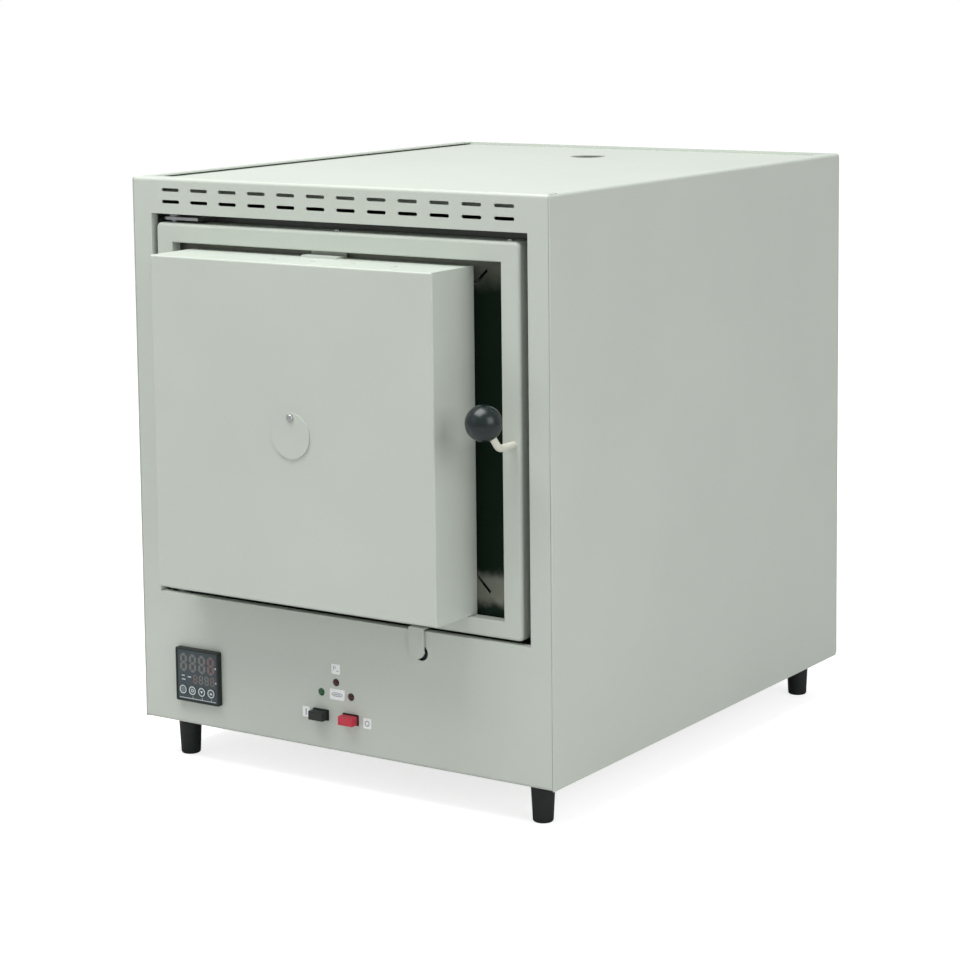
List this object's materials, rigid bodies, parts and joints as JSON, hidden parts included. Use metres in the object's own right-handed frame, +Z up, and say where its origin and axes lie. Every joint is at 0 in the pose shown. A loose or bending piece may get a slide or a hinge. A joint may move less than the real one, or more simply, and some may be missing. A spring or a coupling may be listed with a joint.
{
  "type": "muffle furnace",
  "caption": "Bench muffle furnace with a side-hinged box door, quarter-turn ball handle, sight hole, panel controller, push buttons and a top exhaust hole.",
  "frame": {"origin": "on the floor under the middle of the furnace's outer box, with its door handle and its rear gland counted in", "axes": "+X to the right seen from the front, +Y to the rear, +Z up; the door faces -Y"},
  "size_m": [0.43, 0.5882, 0.519],
  "materials": {
    "powder_coat": "light grey-green textured powder coat",
    "stainless_sheet": "rolled stainless sheet, slightly brushed",
    "zinc_steel": "zinc-plated steel",
    "brass": "turned brass",
    "aluminium": "extruded aluminium",
    "rubber": "black moulded rubber",
    "black_phenolic": "polished black phenolic",
    "black_plastic": "moulded black plastic",
    "display_film": "dark smoked face film",
    "key_plastic": "dark grey keys with a pale ring",
    "red_plastic": "red moulded plastic",
    "red_lens": "dark red lens, unlit",
    "green_lens": "green lens, unlit",
    "ceramic_fibre": "white ceramic fibre",
    "ceramic": "unglazed refractory ceramic",
    "resistance_wire": "oxidised heating wire"
  },
  "bodies": {
    "cabinet": {"front_panel": "powder_coat", "left_side_panel": "powder_coat", "right_side_panel": "powder_coat", "top_panel": "powder_coat", "rear_panel": "powder_coat", "base_plate": "powder_coat", "feet": "rubber", "foot_screws": "zinc_steel", "latch_keeper": "zinc_steel", "hinge_brackets": "zinc_steel", "hinge_pins": "zinc_steel", "body_front_plate": "stainless_sheet", "inner_case": "stainless_sheet", "insulation_boards": "ceramic_fibre", "muffle_left_wall": "ceramic", "muffle_right_wall": "ceramic", "muffle_floor": "ceramic", "muffle_roof": "ceramic", "muffle_rear_wall": "ceramic", "heating_coils": "resistance_wire", "hearth_plate": "ceramic", "exhaust_tube": "ceramic", "thermocouple": "brass", "shelf": "zinc_steel", "controller_bezel": "black_plastic", "controller_window": "display_film", "controller_body": "black_plastic", "controller_clamp": "black_plastic", "red_lamps": "red_lens", "green_lamp": "green_lens", "switch_block": "black_plastic", "interlock_switch": "black_plastic", "relay_and_heat_sink": "aluminium", "terminal_block": "black_plastic", "cable_gland": "black_plastic"},
    "door": {"door_frame": "powder_coat", "door_inner_plate": "stainless_sheet", "door_cover": "powder_coat", "cover_clip": "powder_coat", "sight_tube": "ceramic", "door_insulation": "ceramic_fibre", "door_back_plate": "stainless_sheet", "door_plug": "ceramic_fibre", "door_seal": "ceramic_fibre", "hinge_bushes": "brass", "door_screws": "zinc_steel", "interlock_tongue": "powder_coat", "sight_screw": "zinc_steel"},
    "handle": {"handle_rod": "powder_coat", "ball_knob": "black_phenolic", "latch_cam": "zinc_steel", "handle_nut": "zinc_steel"},
    "sight_cover": {"sight_cover": "powder_coat"},
    "start_button": {"start_button": "black_plastic"},
    "stop_button": {"stop_button": "red_plastic"},
    "interlock_plunger": {"interlock_plunger": "zinc_steel"},
    "controller_key_1": {"controller_key_1": "key_plastic"},
    "controller_key_2": {"controller_key_2": "key_plastic"},
    "controller_key_3": {"controller_key_3": "key_plastic"},
    "controller_key_4": {"controller_key_4": "key_plastic"}
  },
  "joints": [
    {"name": "door_swing", "type": "hinge", "parent": "cabinet", "child": "door", "pos_m": [-0.178, -0.22529, 0.1552], "axis": [0, 0, -1], "range_deg": [0, 100]},
    {"name": "handle_turn", "type": "hinge", "parent": "door", "child": "handle", "pos_m": [0.178, -0.23629, 0.3164], "axis": [0, 1, 0], "range_deg": [0, 90]},
    {"name": "sight_cover_swing", "type": "hinge", "parent": "door", "child": "sight_cover", "pos_m": [-0.00885, -0.28489, 0.3297], "axis": [0, 1, 0], "range_deg": [-120, 120]},
    {"name": "start_button_press", "type": "slide", "parent": "cabinet", "child": "start_button", "axis": [0, 1, 0], "range_m": [0, 0.0035], "stiffness_N_per_m": 400, "springref_m": -0.003},
    {"name": "stop_button_press", "type": "slide", "parent": "cabinet", "child": "stop_button", "axis": [0, 1, 0], "range_m": [0, 0.0035], "stiffness_N_per_m": 400, "springref_m": -0.003},
    {"name": "plunger_slide", "type": "slide", "parent": "cabinet", "child": "interlock_plunger", "axis": [0, -1, 0], "range_m": [0, 0.004]},
    {"name": "key_1_press", "type": "slide", "parent": "cabinet", "child": "controller_key_1", "axis": [0, 1, 0], "range_m": [0, 0.0005], "stiffness_N_per_m": 1500, "springref_m": -0.0005},
    {"name": "key_2_press", "type": "slide", "parent": "cabinet", "child": "controller_key_2", "axis": [0, 1, 0], "range_m": [0, 0.0005], "stiffness_N_per_m": 1500, "springref_m": -0.0005},
    {"name": "key_3_press", "type": "slide", "parent": "cabinet", "child": "controller_key_3", "axis": [0, 1, 0], "range_m": [0, 0.0005], "stiffness_N_per_m": 1500, "springref_m": -0.0005},
    {"name": "key_4_press", "type": "slide", "parent": "cabinet", "child": "controller_key_4", "axis": [0, 1, 0], "range_m": [0, 0.0005], "stiffness_N_per_m": 1500, "springref_m": -0.0005}
  ],
  "couplings": [
    {"joint": "plunger_slide", "follows": "door_swing", "m_per_rad": 0.002177}
  ]
}
